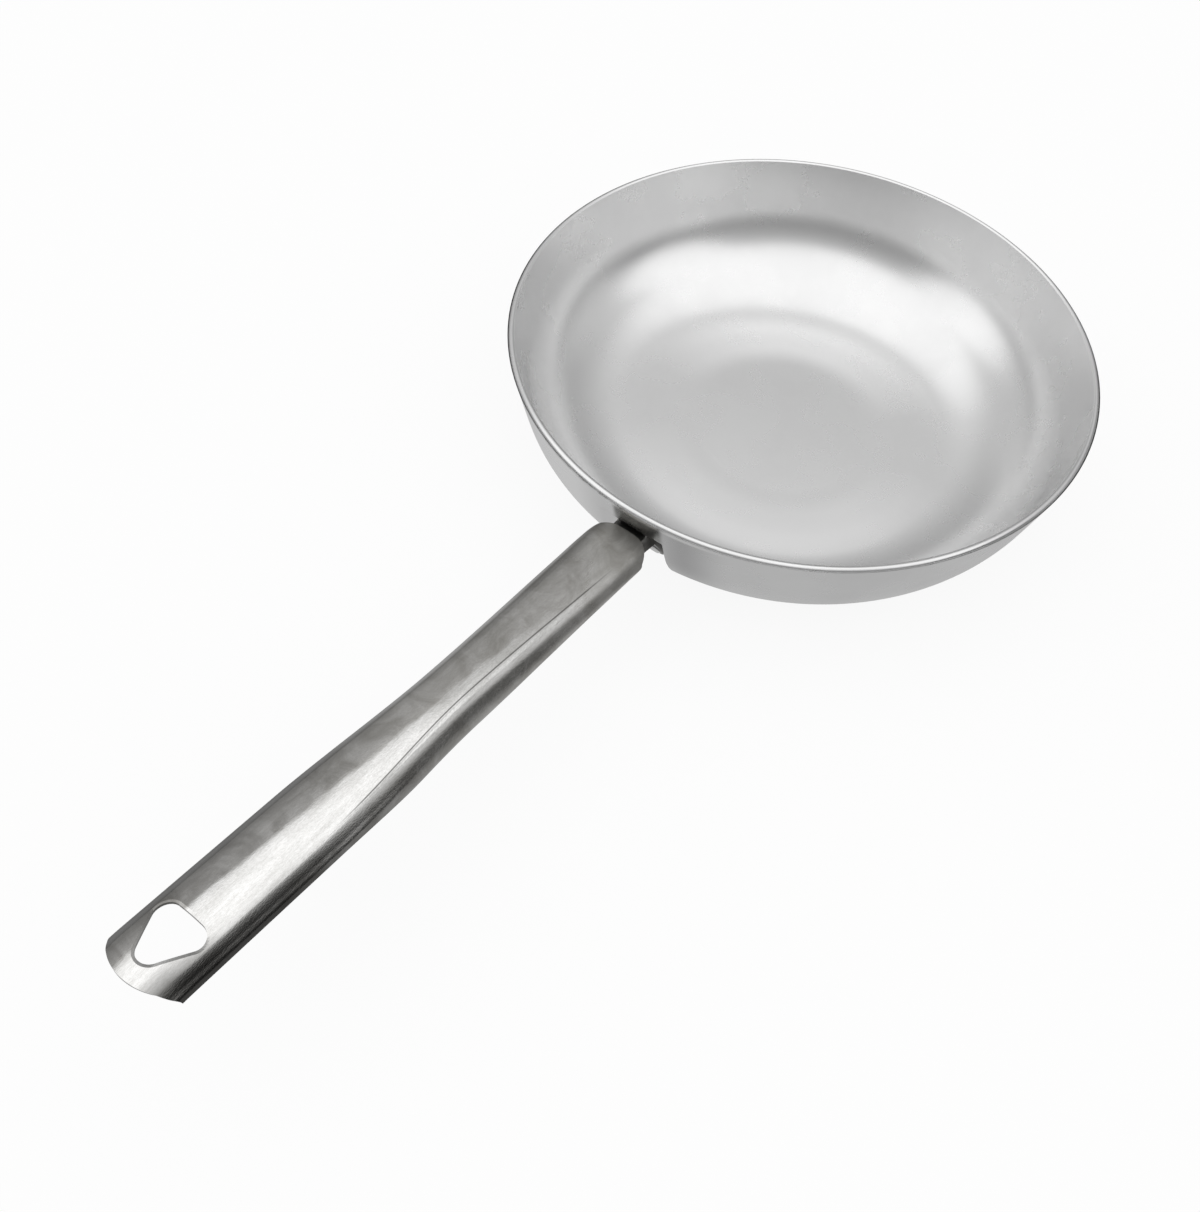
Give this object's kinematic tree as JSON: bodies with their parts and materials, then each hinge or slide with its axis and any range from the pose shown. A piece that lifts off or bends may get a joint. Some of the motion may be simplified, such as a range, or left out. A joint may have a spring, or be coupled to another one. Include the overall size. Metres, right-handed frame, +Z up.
{
  "type": "deep frying pan",
  "caption": "Deep round frying pan with a curved wall and a flat base, and a long formed sheet handle with a narrow waist and a hanging hole, riveted to a seat pressed in the wall.",
  "frame": {"origin": "centre of the flat base, on the face that rests on a table or hob", "axes": "+X from the bowl along the handle, +Z up out of the bowl, +Y across the handle"},
  "size_m": [0.5026, 0.2596, 0.0777],
  "materials": {
    "bowl": "satin, fine concentric polishing",
    "bracket": "satin, slightly stained by heat",
    "rivets": "smooth, pressed",
    "handle": "polished satin stainless with soft wear",
    "screw": "bright turned"
  },
  "bodies": {
    "root": {"pan_body": "bowl", "handle_bracket": "bracket", "bracket_rivet_left": "rivets", "bracket_rivet_right": "rivets", "handle_shell": "handle", "handle_screw": "screw"}
  },
  "joints": []
}
